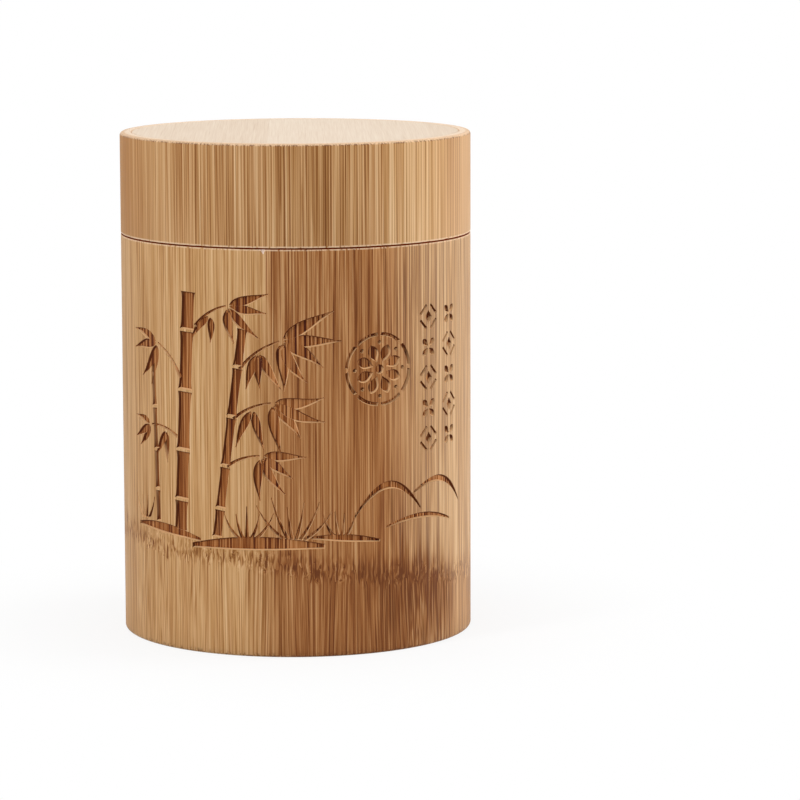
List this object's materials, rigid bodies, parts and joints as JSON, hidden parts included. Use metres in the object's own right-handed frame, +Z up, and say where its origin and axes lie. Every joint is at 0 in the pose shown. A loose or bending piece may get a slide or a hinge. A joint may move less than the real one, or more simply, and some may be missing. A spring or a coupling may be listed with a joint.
{
  "type": "tea canister",
  "caption": "Round bamboo tea canister: a culm body with a grooved neck ring and silicone seal, and a lift-off culm lid with a laminated board top.",
  "frame": {"origin": "centre of the foot, on the surface that the canister stands on", "axes": "+Z up along the culm's axis; -Y is the side that carries the engraving; +X is to the right, seen from that side"},
  "size_m": [0.105, 0.105, 0.15],
  "materials": {
    "body_bamboo": "satin",
    "lid_bamboo": "satin",
    "neck_bamboo": "satin",
    "board_bamboo": "satin",
    "seal_silicone": "satin translucent"
  },
  "bodies": {
    "body": {"body_tube": "body_bamboo", "neck_ring": "neck_bamboo", "base_board_strip_1": "board_bamboo", "base_board_strip_2": "board_bamboo", "base_board_strip_3": "board_bamboo", "base_board_strip_4": "board_bamboo", "base_board_strip_5": "board_bamboo", "base_board_strip_6": "board_bamboo"},
    "seal": {"seal_ring": "seal_silicone"},
    "lid": {"lid_wall": "lid_bamboo", "lid_board_strip_1": "board_bamboo", "lid_board_strip_2": "board_bamboo", "lid_board_strip_3": "board_bamboo", "lid_board_strip_4": "board_bamboo", "lid_board_strip_5": "board_bamboo", "lid_board_strip_6": "board_bamboo", "lid_board_strip_7": "board_bamboo"}
  },
  "joints": [
    {"name": "lid_turn", "type": "hinge", "parent": "body", "child": "seal", "pos_m": [0, 0, 0.127], "axis": [0, 0, 1], "continuous": true},
    {"name": "lid_lift", "type": "slide", "parent": "seal", "child": "lid", "axis": [0, 0, 1], "range_m": [0, 0.1]}
  ]
}
